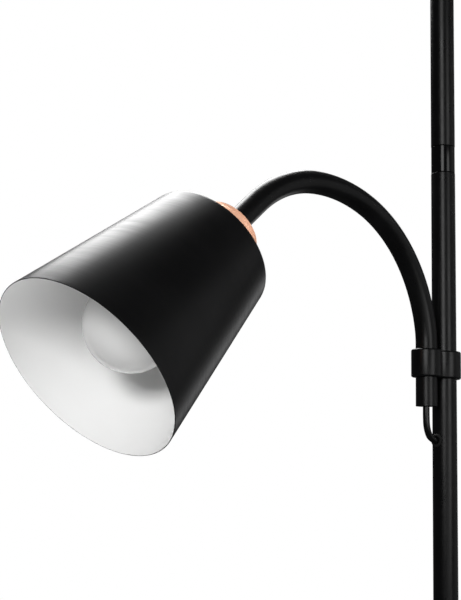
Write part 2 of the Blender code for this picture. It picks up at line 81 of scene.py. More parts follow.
# Fineness
WIDE_SIDES = 192
ROUND_SIDES = 96
SMALL_SIDES = 48
RIBBED_SIDES = 256
HEX_SIDES = 6
SLEEVE_SIDES = 64
HOSE_SIDES = 24
LEAD_SIDES = 16
LEAD_ROUNDNESS = 6  # bevel resolution of the lead's loop
SLEEVE_SPACING = 0.0015  # between rings along the sleeve
CORE_SPACING = 0.004  # between rings along the hose and the lead inside it
FILLET_STEPS = 5
FILLET_SHARE = 0.48  # the most of a straight run that one fillet takes up
CLAMP_STEPS = 56
NECK_STEPS = 9
GLOBE_STEPS = 40
ROUTE_STEPS = 8
SHARP_ANGLE = math.radians(32)

# Tolerances
TIP_RADIUS = 1e-9
SAME_HEIGHT = 1e-7
SAME_RING = 1e-5

# Roundings of edges, from the crispest to the fullest
CRISP = 0.0002
FINE = 0.0003
EASED = 0.0004
DULL = 0.0005
SOFT = 0.0006
FULL = 0.0008

# Base
COVER_WALL = 0.0012
COVER_SHOULDER = 0.009
COVER_HOLE = 0.0053
COVER_FALL = 0.0043  # from the cover's crown down to the corner of its rounded edge
COLLAR_SKIRT = 0.0042  # height of the collar's upright edge
COLLAR_SHOULDER = (0.0016, 0.0064, 0.0016)  # in from the edge, up from the foot, rounding
COLLAR_CROWN = (0.0062, 0.0006, 0.0014)  # in from the edge, down from the top, rounding

# Rubber bushes: the mains cord's in the base cover and the lead's in the pole
GLAND_HOLE = 0.0038
GLAND_DRILL = 0.006  # how far the hole's cutter reaches to each side of the wall's face
GLAND_NECK = 0.0035
GLAND_BORE = 0.0028
GLAND_LIP = 0.0043
GLAND_FLANGE = 0.0014
GLAND_TAPER = 0.0010
GLAND_SLACK = 0.0005
GROMMET_HOLE = 0.0038
GROMMET_DRILL = 0.004
GROMMET_NECK = 0.0035
GROMMET_BORE = 0.0030
GROMMET_LIP = 0.0044
GROMMET_LIP_DEPTH = 0.0011
GROMMET_FLANGE = 0.0013
GROMMET_TAPER = 0.0009

# Pole and clamp
TUBE_COUNT = 4
GAP = 0.0003  # between neighbouring pieces
TUBE_EDGE = 0.0004  # rounding at the ends of a pole tube
TUBE_WALL = 0.0012
CLAMP_FILLET = 0.0014
CLAMP_WEB = 0.0062  # half the width of the waist between the clamp's two rings
CLAMP_DRILL = 0.01  # how far a bore's cutter reaches past each face
SCREW_RADIUS = 0.0019
SCREW_DRILL = (0.004, 0.016)  # where a screw hole's cutter starts and ends
SOCKET_FLATS = 0.0020
SOCKET_DEPTH = 0.0016
SOCKET_DRILL = 0.001  # how far the socket's cutter reaches past the screw's end

# Arm
SWINGS = (1, 3)  # places of the swing joints in the row of joints
SLEEVE_BORE = 0.0065
HOSE_RADIUS = 0.0059
HOSE_BORE = 0.0054
HOSE_SETBACK = 0.0006  # from the ferrule to the hose
LEAD_RADIUS = 0.0026
LEAD_TOP = 0.030  # distance along the arm where the loop takes over from the arm's own lead
BLEND_MARGIN = 0.004  # kept in from a piece's own ends when its stretch round the hinge is worked out
LOOP_START = 0.050  # height above the hole in the pole where the loop leaves the arm's axis
LOOP_ROUTE = (  # x, and height above the hole in the pole
    (-0.0229, 0.0300),
    (-0.0230, 0.0180),
    (-0.0222, 0.0095),
    (-0.0190, 0.0030),
    (-0.0135, 0.0001),
    (-0.0095, 0.0),
    (-0.0055, 0.0),
    (-0.0012, -0.0022),
    (0.0012, -0.0080),
    (0.0018, -0.0180),
    (0.0018, -0.0380),
)

# Lamp heads
CUP_WALL = 0.0010
CUP_SHOULDER = 0.0075
SHADE_WALL = 0.0008
SHADE_BEND = 0.0034
RIM_ROUND = 0.0003
RIM_BAND = 0.001  # the cone's slope is read below this distance from the rim
GRIP_NECK = 0.0035
GRIP_FLANGE = 0.0015
GRIP_SLOPE = 0.0030
RIB_COUNT = 32
RIB_DEPTH = 0.0005
HOLDER_BACK = 0.0125
HOLDER_BODY = 0.0190
HOLDER_TAPER = 0.010
HOLDER_ROUND = 0.0012
HOLDER_MOUTH = 0.0165
HOLDER_BORE = 0.0155
HOLDER_CHAMFER = 0.0020
HOLDER_FLOOR = 0.0105  # behind the shade's plate
FLANGE_BACK = 0.0035  # behind the shade's plate
FLANGE_FRONT = 0.0007  # behind the shade's plate
FLANGE_WIDTH = 0.0032
GLASS = 0.0010
BULB_NECK = 0.0135
BULB_JOIN = math.radians(-58)  # where the neck meets the globe, from the globe's widest ring

# Patterns: a noise runs mostly between these values
NOISE_LOW = 0.3
NOISE_HIGH = 0.7

# Studio: sizes and distances in metres, powers in watts
FLOOR_GLOW = 0.32
FLOOR_HALF_WIDTH = 7.0
FLOOR_CELLS = 4
LIT_POINT = 0.09  # along the reading shade's axis from the cup
HEAD_LIGHTS = (  # name, direction from the lit point, times out along it, size, power, shine
    ("key_above_behind", (0.56, 0.82, 1.21), 1.0, 0.95, 18, True),
    ("side_left", (-0.84, -0.50, 0.22), 1.8, 0.55, 26, False),
    ("fill_right", (0.80, -0.45, 0.35), 1.5, 0.9, 22, False),
)
POLE_LIGHTS = (  # name, degrees round the pole, width, height, rise over the clamp, power
    ("strip_front", -15, 0.95, 1.2, 0.60, 9.4),
    ("strip_right", 40, 1.00, 1.1, 0.35, 5.0),
    ("low_front", 24, 1.90, 0.8, -0.32, 2.5),
    ("wide_right", 92, 2.20, 2.0, 0.10, 2.2),
    ("strip_back_right", 150, 0.90, 2.0, 0.30, 4.0),
)
POLE_LIGHT_DISTANCE = 2.3
CEILING_STRENGTH = 1.0
CEILING_SPREAD = math.radians(110)
CEILING_HEIGHT = 3
BOUNCE_HEIGHT = 0.02
BOUNCE_SIZE = 3.5
BOUNCE_POWER = 31
WORLD_GLOW = 0.03
WORLD_COLOUR = (0.95, 0.97, 1.0, 1.0)
WHITE = (1.0, 1.0, 1.0, 1.0)

# Camera
LENS = 73.5
SENSOR_WIDTH = 36.0
CLIP_START = 0.01
CAMERA_PLACE = (-0.7742, -0.5850)
CAMERA_BELOW_CLAMP = 0.096
CAMERA_HEADING = (0.6811, 0.7322)
CAMERA_PITCH = math.radians(8.61)
CAMERA_ROLL = math.radians(1.135)


# ---------------------------------------------------------------- measuring the CAD model


def measured(node, place):
    """(radius, height) of each point of a CAD node, about a frame's Z axis."""
    to_local = place.inverted()
    points = [to_local @ v.co for v in NODES[node].data.vertices]
    return [(math.hypot(p.x, p.y), p.z) for p in points]


def extent(node, place):
    """Lowest height, highest height, smallest radius and largest radius of a CAD node."""
    pairs = measured(node, place)
    radii = [r for r, _ in pairs]
    heights = [z for _, z in pairs]
    return min(heights), max(heights), min(radii), max(radii)


def upright(x=0.0, z=0.0):
    return Matrix.Translation((x, 0, z))


def along_x(z, direction=1):
    """Frame whose Z axis points along +X, or along -X, at a height."""
    return Matrix.Translation((0, 0, z)) @ Matrix.Rotation(direction * math.pi / 2, 4, "Y")


def middle_height(node):
    low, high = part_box(node)
    return (low.z + high.z) / 2


def foot_of_arm():
    """Centre of the arm's lower end, and its radius."""
    points = [v.co for v in NODES["arm_sleeve_1"].data.vertices]
    low = min(p.z for p in points)
    ring = [p for p in points if p.z < low + SAME_RING]
    centre = sum(ring, Vector()) / len(ring)
    return centre, max((p - centre).length for p in ring)


ARM_FOOT, SLEEVE_RADIUS = foot_of_arm()
HINGES = [Vector(joint["pos_m"]) for joint in JOINTS]


def lean(start, end):
    """Angle of a chord of the arm from upright, towards -X."""
    step = end - start
    return math.atan2(-step.x, step.z)


def arm_stretches():
    """Length and turn of each stretch of the arm.

    The swing joints' axes give the arm's slope at their places.
    """
    slopes = [None] * len(HINGES)
    for i in SWINGS:
        axis = JOINTS[i]["axis"]
        slopes[i] = math.atan2(axis[2], axis[0])
    slopes[0] = 2 * lean(HINGES[0], HINGES[1]) - slopes[1]
    slopes[2] = 2 * lean(HINGES[1], HINGES[2]) - slopes[1]
    slopes[4] = 2 * lean(HINGES[3], HINGES[4]) - slopes[3]
    half = slopes[0] / 2
    chord = (ARM_FOOT.x - HINGES[0].x) / math.sin(half)
    bend_start = HINGES[0].z - chord * math.cos(half)
    found = [(bend_start - ARM_FOOT.z, 0.0), (chord * half / math.sin(half), slopes[0])]
    for i in range(len(HINGES) - 1):
        turn = slopes[i + 1] - slopes[i]
        chord = (HINGES[i + 1] - HINGES[i]).length
        found.append((chord * (turn / 2) / math.sin(turn / 2), turn))
    direction = Vector((-math.sin(slopes[4]), 0, math.cos(slopes[4])))
    reach = max((v.co - HINGES[4]).dot(direction) for v in NODES["arm_sleeve_6"].data.vertices)
    return found + [(reach, 0.0)]


STRETCHES = arm_stretches()
ARM_LENGTH = sum(length for length, _ in STRETCHES)


def arm_frame(distance):
    """Frame on the arm's centreline: +Z along it, +Y square to the plane that it bends in."""
    place = Matrix.Translation(ARM_FOOT)
    for length, turn in STRETCHES:
        run = min(distance, length)
        half = turn * run / length / 2
        chord = run * math.sin(half) / half if half else run
        half_turn = Matrix.Rotation(-half, 4, "Y")
        place = place @ half_turn @ Matrix.Translation((0, 0, chord)) @ half_turn
        distance -= run
        if distance <= 0:
            break
    return place


def hinge_distances():
    found = [STRETCHES[0][0] + STRETCHES[1][0]]
    for length, _ in STRETCHES[2:-1]:
        found.append(found[-1] + length)
    return found


# ---------------------------------------------------------------- mesh helpers


def soften(profile):
    """Rounds the corners of (radius, height, fillet) points.

    Returns (radius, height, corner) points, where corner is the place in the profile.
    """
    count = len(profile)
    found = []
    for i, (r, z, fillet) in enumerate(profile):
        corner = Vector((r, z))
        if fillet <= 0 or i in (0, count - 1):
            found.append((r, z, i))
            continue
        before = Vector(profile[i - 1][:2]) - corner
        after = Vector(profile[i + 1][:2]) - corner
        spread = before.angle(after)
        reach = fillet / math.tan(spread / 2)
        reach = min(reach, FILLET_SHARE * before.length, FILLET_SHARE * after.length)
        start = corner + before.normalized() * reach
        end = corner + after.normalized() * reach
        for step in range(FILLET_STEPS + 1):
            t = step / FILLET_STEPS
            point = (1 - t) ** 2 * start + 2 * t * (1 - t) * corner + t * t * end
            found.append((point.x, point.y, i))
    return found


def skin(bm, rings, closed, slots=None):
    """Joins rings of points into one skin. A ring of one point is a tip."""
    loops = [[bm.verts.new(p) for p in ring] for ring in rings]
    pairs = list(zip(loops, loops[1:]))
    if closed:
        pairs.append((loops[-1], loops[0]))
    for index, (low, high) in enumerate(pairs):
        count = max(len(low), len(high))
        for i in range(count):
            corners = []
            for loop, at in ((low, i), (low, i + 1), (high, i + 1), (high, i)):
                corner = loop[at % len(loop)]
                if corner not in corners:
                    corners.append(corner)
            face = bm.faces.new(corners)
            if slots:
                face.material_index = slots[index]


def ring_at(place, radius, height, sides, rib=0.0):
    if radius <= TIP_RADIUS:
        return [place @ Vector((0, 0, height))]
    points = []
    for i in range(sides):
        angle = 2 * math.pi * i / sides
        reach = radius - rib * (0.5 - 0.5 * math.cos(angle * RIB_COUNT))
        points.append(place @ Vector((reach * math.cos(angle), reach * math.sin(angle), height)))
    return points


def add_piece(name, bm, materials, place=None):
    bmesh.ops.recalc_face_normals(bm, faces=bm.faces)
    mesh = bpy.data.meshes.new(name)
    bm.to_mesh(mesh)
    bm.free()
    for mat in materials:
        mesh.materials.append(mat)
    mesh.shade_smooth()
    mesh.set_sharp_from_angle(angle=SHARP_ANGLE)
    piece = bpy.data.objects.new(name, mesh)
    bpy.context.scene.collection.objects.link(piece)
    if place is not None:
        piece.matrix_world = place
    return piece


def turned(name, profile, place, materials, sides=ROUND_SIDES, inside_from=None, ribs=()):
    """Turned piece about a frame's Z axis.

    From corner inside_from on, its faces take the second material. The corners in ribs are ribbed.
    """
    points = soften(profile)
    closed = profile[0][0] > TIP_RADIUS
    rings = []
    for r, z, corner in points:
        rib = RIB_DEPTH if corner in ribs else 0.0
        rings.append(ring_at(Matrix(), r, z, sides, rib))
    slots = None
    if inside_from is not None:
        slots = [1 if corner >= inside_from else 0 for _, _, corner in points]
    bm = bmesh.new()
    skin(bm, rings, closed, slots)
    return add_piece(name, bm, materials, place)


def cut_away(piece, tools):
    """Takes each tool's shape out of a piece, then removes the tools."""
    for tool in tools:
        modifier = piece.modifiers.new("cut", "BOOLEAN")
        modifier.operation = "DIFFERENCE"
        modifier.solver = "EXACT"
        modifier.object = tool
    bpy.context.view_layer.update()
    graph = bpy.context.evaluated_depsgraph_get()
    mesh = bpy.data.meshes.new_from_object(piece.evaluated_get(graph))
    piece.modifiers.clear()
    piece.data = mesh
    mesh.shade_smooth()
    mesh.set_sharp_from_angle(angle=SHARP_ANGLE)
    for tool in tools:
        bpy.data.objects.remove(tool)
    return piece


def drill(radius, low, high, place, sides=SMALL_SIDES):
    profile = [(0, low, 0), (radius, low, 0), (radius, high, 0), (0, high, 0)]
    return turned("drill", profile, place, [], sides)


def stands_for(piece, body, slot, *nodes):
    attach(piece, body)
    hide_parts(*nodes)
    return piece


# ---------------------------------------------------------------- materials


class Surface:
    """A Principled material under construction. Its patterns sit in the piece's own frame."""

    def __init__(self, name, roughness, metallic=0.0, **settings):
        self.material = bpy.data.materials.new(name)
        self.material.use_nodes = True
        self.tree = self.material.node_tree
        self.shader = self.tree.nodes["Principled BSDF"]
        self.shader.inputs["Metallic"].default_value = metallic
        self.shader.inputs["Roughness"].default_value = roughness
        for socket, value in settings.items():
            self.shader.inputs[socket.replace("_", " ")].default_value = value
        self.coordinates = self.tree.nodes.new("ShaderNodeTexCoord").outputs["Object"]
        self.height = None

    def link(self, source, target):
        self.tree.links.new(source, target)

    def around(self, rings, around):
        """Coordinates for spun lines: fine along the axis, coarse round it."""
        split = self.tree.nodes.new("ShaderNodeSeparateXYZ")
        self.link(self.coordinates, split.inputs[0])
        angle = self.tree.nodes.new("ShaderNodeMath")
        angle.operation = "ARCTAN2"
        self.link(split.outputs["Y"], angle.inputs[0])
        self.link(split.outputs["X"], angle.inputs[1])
        turn = self.tree.nodes.new("ShaderNodeMath")
        turn.operation = "MULTIPLY"
        turn.inputs[1].default_value = around
        self.link(angle.outputs[0], turn.inputs[0])
        along = self.tree.nodes.new("ShaderNodeMath")
        along.operation = "MULTIPLY"
        along.inputs[1].default_value = rings
        self.link(split.outputs["Z"], along.inputs[0])
        joined = self.tree.nodes.new("ShaderNodeCombineXYZ")
        self.link(turn.outputs[0], joined.inputs["X"])
        self.link(along.outputs[0], joined.inputs["Z"])
        return joined.outputs[0]

    def noise(self, scale, detail, vector=None, distortion=0.0):
        node = self.tree.nodes.new("ShaderNodeTexNoise")
        node.inputs["Scale"].default_value = scale
        node.inputs["Detail"].default_value = detail
        node.inputs["Distortion"].default_value = distortion
        self.link(vector or self.coordinates, node.inputs["Vector"])
        return node.outputs["Fac"]

    def cells(self, scale):
        node = self.tree.nodes.new("ShaderNodeTexVoronoi")
        node.inputs["Scale"].default_value = scale
        self.link(self.coordinates, node.inputs["Vector"])
        return node.outputs["Distance"]

    def colours(self, source, *stops):
        """Colour ramp over a pattern, from (place, colour) stops."""
        node = self.tree.nodes.new("ShaderNodeValToRGB")
        ramp = node.color_ramp
        while len(ramp.elements) < len(stops):
            ramp.elements.new(0.5)
        for element, (place, colour) in zip(ramp.elements, stops):
            element.position = place
            element.color = (*colour, 1.0)
        self.link(source, node.inputs["Fac"])
        self.link(node.outputs["Color"], self.shader.inputs["Base Color"])

    def rough(self, source, low, high):
        """Roughness that runs from low to high over a pattern."""
        node = self.tree.nodes.new("ShaderNodeMapRange")
        node.inputs["From Min"].default_value = NOISE_LOW
        node.inputs["From Max"].default_value = NOISE_HIGH
        node.inputs["To Min"].default_value = low
        node.inputs["To Max"].default_value = high
        self.link(source, node.inputs["Value"])
        self.link(node.outputs["Result"], self.shader.inputs["Roughness"])

    def bump(self, source, depth):
        """Adds relief of a depth in metres on top of what is there already."""
        node = self.tree.nodes.new("ShaderNodeBump")
        node.inputs["Strength"].default_value = 1.0
        node.inputs["Distance"].default_value = depth
        self.link(source, node.inputs["Height"])
        if self.height is not None:
            self.link(self.height, node.inputs["Normal"])
        self.height = node.outputs["Normal"]
        self.link(self.height, self.shader.inputs["Normal"])


def powder_coat(name, low, high, peel=0.000012):
    """Satin black powder coat: fine orange peel and cloudy gloss."""
    s = Surface(name, 0.36, Specular_IOR_Level=0.5)
    s.colours(s.noise(22, 4), (0.35, (0.0011, 0.0011, 0.0012)), (0.65, (0.0022, 0.0022, 0.0024)))
    s.rough(s.noise(70, 5), low, high)
    s.bump(s.noise(1500, 3), peel)
    s.bump(s.noise(5200, 2), peel * 0.25)
    return s.material


def spun_coat():
    """The shades' outside: satin black over spun sheet, so faint rings show in its gloss."""
    s = Surface("shade_black", 0.34, Specular_IOR_Level=0.5)
    s.colours(s.noise(18, 4), (0.35, (0.0016, 0.0016, 0.0018)), (0.65, (0.0032, 0.0032, 0.0034)))
    rings = s.around(900, 1.4)
    s.rough(s.noise(1.0, 4, rings), 0.28, 0.40)
    s.bump(s.noise(1.0, 3, rings), 0.000026)
    s.bump(s.noise(1900, 3), 0.000012)
    return s.material


def white_enamel():
    """The shades' inside: soft white enamel, a little uneven, with the spun rings just readable."""
    s = Surface("shade_white", 0.42, Specular_IOR_Level=0.45)
    s.colours(s.noise(14, 4), (0.3, (0.86, 0.86, 0.855)), (0.7, (0.89, 0.89, 0.885)))
    s.rough(s.noise(60, 4), 0.36, 0.50)
    s.bump(s.noise(1.0, 3, s.around(420, 1.0)), 0.000008)
    s.bump(s.noise(1300, 3), 0.000008)
    return s.material


def satin_copper():
    """Satin copper plate on a spun cup: fine turning lines and slight tarnish."""
    s = Surface("copper_plate", 0.38, metallic=0.3)
    s.colours(
        s.noise(45, 5),
        (0.25, (0.86, 0.43, 0.28)),
        (0.5, (0.92, 0.49, 0.32)),
        (0.8, (0.97, 0.56, 0.39)),
    )
    lines = s.around(2600, 0.9)
    s.rough(s.noise(1.0, 3, lines), 0.34, 0.46)
    s.bump(s.noise(1.0, 2, lines), 0.0000035)
    return s.material


def sleeve_skin():
    """Soft black PVC sleeve over the hose: silky, with a fine grain."""
    s = Surface("arm_sleeve_black", 0.33, Specular_IOR_Level=0.5)
    s.colours(s.noise(30, 4), (0.35, (0.0013, 0.0013, 0.0014)), (0.65, (0.0026, 0.0026, 0.0028)))
    s.rough(s.noise(110, 5), 0.27, 0.36)
    s.bump(s.noise(900, 4), 0.000010)
    s.bump(s.noise(3600, 2), 0.000003)
    return s.material


def lead_sheath():
    """Glossy PVC of the lead, with the slight ripple of its twisted cores."""
    s = Surface("lead_black", 0.18, Specular_IOR_Level=0.5, Coat_Weight=0.2, Coat_Roughness=0.12)
    s.colours(s.noise(160, 3), (0.3, (0.0020, 0.0020, 0.0020)), (0.7, (0.0035, 0.0035, 0.0035)))
    s.rough(s.noise(240, 4), 0.15, 0.26)
    s.bump(s.noise(330, 2), 0.000030)
    return s.material


def moulded_plastic():
    """Matte moulded plastic with a fine spark-eroded grain."""
    s = Surface("black_plastic", 0.5, Specular_IOR_Level=0.45)
    s.colours(s.noise(50, 4), (0.3, (0.015, 0.015, 0.015)), (0.7, (0.020, 0.020, 0.020)))
    s.rough(s.noise(260, 4), 0.42, 0.58)
    s.bump(s.cells(2600), 0.000014)
    return s.material


def opal_glass():
    """Opal bulb: milky glass, glossy outside, faintly clouded within."""
    s = Surface(
        "opal_glass",
        0.16,
        Specular_IOR_Level=0.5,
        Subsurface_Weight=0.35,
        Subsurface_Scale=0.006,
        Subsurface_Radius=(1.0, 1.0, 1.0),
    )
    s.colours(s.noise(26, 4), (0.3, (0.69, 0.69, 0.685)), (0.7, (0.725, 0.725, 0.72)))
    s.rough(s.noise(55, 4), 0.14, 0.22)
    s.bump(s.noise(90, 3), 0.000020)
    return s.material


def bare_metal(name, dark, light, low, high):
    """Machined or plated metal with turning lines and dull patches."""
    s = Surface(name, 0.35, metallic=1.0)
    s.colours(s.noise(60, 5), (0.3, dark), (0.7, light))
    s.rough(s.noise(1.0, 4, s.around(1260, 1.2)), low, high)
    s.bump(s.noise(1.0, 3, s.around(2100, 1.0)), 0.000008)
    return s.material


def rough_casting():
    """Sand-cast iron: dark, pitted and dull."""
    s = Surface("cast_iron", 0.75, metallic=0.7)
    s.colours(s.noise(120, 6), (0.3, (0.045, 0.043, 0.041)), (0.7, (0.085, 0.082, 0.079)))
    s.rough(s.noise(300, 5), 0.60, 0.85)
    s.bump(s.noise(420, 6), 0.00025)
    s.bump(s.cells(900), 0.00008)
    return s.material


def pressed_felt():
    """Pressed felt: matted fibres lying every way."""
    s = Surface("felt", 0.95, Sheen_Weight=0.35, Sheen_Roughness=0.5)
    s.colours(
        s.noise(700, 6, distortion=2.5),
        (0.3, (0.020, 0.020, 0.021)),
        (0.7, (0.058, 0.058, 0.060)),
    )
    s.rough(s.noise(400, 4), 0.86, 1.0)
    s.bump(s.noise(1400, 6, distortion=3.0), 0.00022)
    return s.material


def soft_rubber():
    """Moulded rubber: dull, with a faint bloom."""
    s = Surface("rubber", 0.75, Specular_IOR_Level=0.35)
    s.colours(s.noise(90, 5), (0.3, (0.004, 0.004, 0.004)), (0.7, (0.009, 0.009, 0.009)))
    s.rough(s.noise(200, 4), 0.62, 0.85)
    s.bump(s.noise(1600, 3), 0.00002)
    return s.material


def all_materials():
    """The finishes by name. A bare metal has its dark, its light, its smoothest, its roughest."""
    return {
        "black_paint": powder_coat("black_powder_coat", 0.26, 0.35),
        "band": powder_coat("joint_band_black", 0.12, 0.17, 0.000004),
        "shade_paint": spun_coat(),
        "shade_white": white_enamel(),
        "sleeve": sleeve_skin(),
        "lead_pvc": lead_sheath(),
        "black_plastic": moulded_plastic(),
        "copper": satin_copper(),
        "cast_iron": rough_casting(),
        "steel": bare_metal("zinc_steel", (0.42, 0.42, 0.43), (0.62, 0.62, 0.63), 0.24, 0.42),
        "dark_steel": bare_metal(
            "black_oxide", (0.020, 0.020, 0.021), (0.045, 0.045, 0.047), 0.30, 0.45
        ),
        "brass": bare_metal("brass", (0.64, 0.48, 0.22), (0.80, 0.64, 0.34), 0.22, 0.38),
        "cap_metal": bare_metal(
            "bulb_cap_metal", (0.62, 0.62, 0.63), (0.78, 0.78, 0.79), 0.22, 0.36
        ),
        "rubber": soft_rubber(),
        "felt": pressed_felt(),
        "opal_glass": opal_glass(),
    }


MATERIALS = all_materials()


# ---------------------------------------------------------------- base


def base_felt():
    low, high, _, radius = extent("base_felt", upright())
    edge = (high - low) / 3
    profile = [(0, low, 0), (radius, low, edge), (radius, high, edge), (0, high, 0)]
    piece = turned("base_felt_disc", profile, upright(), [MATERIALS["felt"]], WIDE_SIDES)
    stands_for(piece, "root", "felt", "base_felt")


def base_cover():
    low, high, _, radius = extent("base_cover", upright())
    edge_top = high - COVER_FALL
    inner = radius - COVER_WALL
    profile = [
        (COVER_HOLE, high - COVER_WALL, 0),
        (COVER_HOLE, high, CRISP),
        (radius, edge_top, COVER_SHOULDER),
        (radius, low, DULL),
        (inner, low, FINE),
        (inner, edge_top - COVER_WALL, COVER_SHOULDER - COVER_WALL),
    ]
    piece = turned("base_shell", profile, upright(), [MATERIALS["black_paint"]], WIDE_SIDES)
    gland = along_x(middle_height("cord_gland"))
    cut_away(piece, [drill(GLAND_HOLE, radius - GLAND_DRILL, radius + GLAND_DRILL, gland)])
    stands_for(piece, "root", "black_paint", "base_cover")


def cord_gland():
    low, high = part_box("cord_gland")
    radius = (high.z - low.z) / 2
    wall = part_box("base_cover")[1].x
    behind_wall = wall - COVER_WALL - GLAND_SLACK
    profile = [
        (radius, wall + GAP, CRISP),
        (radius, wall + GLAND_FLANGE, SOFT),
        (radius - GLAND_TAPER, high.x, EASED),
        (GLAND_BORE, high.x, EASED),
        (GLAND_BORE, low.x, 0),
        (GLAND_LIP, low.x, FINE),
        (GLAND_LIP, behind_wall, 0),
        (GLAND_NECK, behind_wall, 0),
        (GLAND_NECK, wall + GAP, 0),
    ]
    place = along_x(middle_height("cord_gland"))
    piece = turned("cord_outlet_bush", profile, place, [MATERIALS["rubber"]], SMALL_SIDES)
    stands_for(piece, "root", "rubber", "cord_gland")


def base_collar():
    low, high, bore, radius = extent("base_collar", upright())
    shoulder_in, shoulder_up, shoulder_round = COLLAR_SHOULDER
    crown_in, crown_down, crown_round = COLLAR_CROWN
    profile = [
        (bore, low, 0),
        (radius, low, EASED),
        (radius, low + COLLAR_SKIRT, FULL),
        (radius - shoulder_in, low + shoulder_up, shoulder_round),
        (radius - crown_in, high - crown_down, crown_round),
        (bore, high, FINE),
    ]
    piece = turned("pole_collar", profile, upright(), [MATERIALS["black_paint"]])
    stands_for(piece, "root", "black_paint", "base_collar")


# ---------------------------------------------------------------- pole


def pole_tubes():
    hole_height = middle_height("lead_grommet")
    for index in range(1, TUBE_COUNT + 1):
        node = "pole_tube_" + str(index)
        low, high, _, radius = extent(node, upright())
        bore = radius - TUBE_WALL
        profile = [
            (bore, low, 0),
            (radius, low, TUBE_EDGE),
            (radius, high, TUBE_EDGE),
            (bore, high, 0),
        ]
        piece = turned("pole_length_" + str(index), profile, upright(), [MATERIALS["black_paint"]])
        if low < hole_height < high:
            start, end = radius - GROMMET_DRILL, radius + GROMMET_DRILL
            cut_away(piece, [drill(GROMMET_HOLE, start, end, along_x(hole_height, -1))])
        stands_for(piece, "root", "black_paint", node)


def pole_couplers():
    """Joiners: two spigots inside the tubes and the glossier band between them."""
    for index in range(1, TUBE_COUNT):
        node = "pole_coupler_" + str(index)
        low, high, bore, band = extent(node, upright())
        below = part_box("pole_tube_" + str(index))[1].z + GAP
        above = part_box("pole_tube_" + str(index + 1))[0].z - GAP
        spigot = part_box("pole_bottom_insert")[1].x
        profile = [
            (bore, low, 0),
            (spigot, low, FINE),
            (spigot, below, 0),
            (band, below, FINE),
            (band, above, FINE),
            (spigot, above, 0),
            (spigot, high, FINE),
            (bore, high, 0),
        ]
        piece = turned("pole_joint_" + str(index), profile, upright(), [MATERIALS["band"]])
        stands_for(piece, "root", "black_paint", node)


def lead_grommet():
    """Bush in the pole's wall. It faces -X, so its box's low x is its outer end."""
    low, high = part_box("lead_grommet")
    radius = (high.z - low.z) / 2
    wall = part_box("pole_tube_3")[1].x
    profile = [
        (GROMMET_NECK, wall + GAP, 0),
        (radius, wall + GAP, CRISP),
        (radius, wall + GROMMET_FLANGE, SOFT),
        (radius - GROMMET_TAPER, -low.x, EASED),
        (GROMMET_BORE, -low.x, EASED),
        (GROMMET_BORE, -high.x, 0),
        (GROMMET_LIP, -high.x, FINE),
        (GROMMET_LIP, -high.x + GROMMET_LIP_DEPTH, 0),
        (GROMMET_NECK, -high.x + GROMMET_LIP_DEPTH, 0),
    ]
    place = along_x(middle_height("lead_grommet"), -1)
    piece = turned("lead_entry_bush", profile, place, [MATERIALS["rubber"]], SMALL_SIDES)
    stands_for(piece, "root", "rubber", "lead_grommet")


# ---------------------------------------------------------------- clamp


def clamp_outline(inset):
    """Figure of eight round the pole and the arm, set in evenly all round."""
    low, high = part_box("arm_clamp")
    pole_ring = high.x - inset
    arm_ring = ARM_FOOT.x - low.x - inset
    web = CLAMP_WEB - inset
    points = []
    for centre, radius, facing in ((0.0, pole_ring, 0.0), (ARM_FOOT.x, arm_ring, math.pi)):
        waist = math.pi - math.asin(web / radius)
        for i in range(CLAMP_STEPS + 1):
            angle = facing - waist + 2 * waist * i / CLAMP_STEPS
            points.append((centre + radius * math.cos(angle), radius * math.sin(angle)))
    return points


def arm_clamp():
    low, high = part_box("arm_clamp")
    levels = []
    for i in range(FILLET_STEPS + 1):
        angle = math.pi / 2 * i / FILLET_STEPS
        inset = CLAMP_FILLET * (1 - math.sin(angle))
        levels.append((inset, CLAMP_FILLET * (1 - math.cos(angle))))
    rims = [(inset, low.z + rise) for inset, rise in levels]
    rims += [(inset, high.z - rise) for inset, rise in reversed(levels)]
    bm = bmesh.new()
    rings = [[Vector((x, y, z)) for x, y in clamp_outline(inset)] for inset, z in rims]
    skin(bm, rings, closed=False)
    for height in (low.z, high.z):
        bm.faces.new([v for v in bm.verts if abs(v.co.z - height) < SAME_HEIGHT])
    piece = add_piece("arm_clamp_body", bm, [MATERIALS["black_paint"]])
    tools = []
    pole_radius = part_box("pole_tube_3")[1].x
    start, end = low.z - CLAMP_DRILL, high.z + CLAMP_DRILL
    for x, radius in ((0.0, pole_radius + GAP), (ARM_FOOT.x, SLEEVE_RADIUS + GAP)):
        tools.append(drill(radius, start, end, upright(x), ROUND_SIDES))
    for place in screw_frames():
        tools.append(drill(SCREW_RADIUS + GAP, *SCREW_DRILL, place))
    cut_away(piece, tools)
    stands_for(piece, "root", "black_paint", "arm_clamp")


def screw_frames():
    """Frames at the screws, with +Z out through the pole ring and out through the arm ring."""
    height = middle_height("clamp_pole_screw")
    outward = Matrix.Rotation(-math.pi / 2, 4, "X")
    return along_x(height), Matrix.Translation((ARM_FOOT.x, 0, height)) @ outward


def clamp_screws():
    for node, place in zip(("clamp_pole_screw", "clamp_arm_screw"), screw_frames()):
        low, high, _, radius = extent(node, place)
        profile = [(0, low, 0), (radius, low, FINE), (radius, high, DULL), (0, high, 0)]
        piece = turned(node + "_fine", profile, place, [MATERIALS["dark_steel"]], SMALL_SIDES)
        corner = SOCKET_FLATS / 2 / math.cos(math.pi / HEX_SIDES)
        start, end = high - SOCKET_DEPTH, high + SOCKET_DRILL
        cut_away(piece, [drill(corner, start, end, place, HEX_SIDES)])
        stands_for(piece, "root", "steel", node)


# ---------------------------------------------------------------- arm


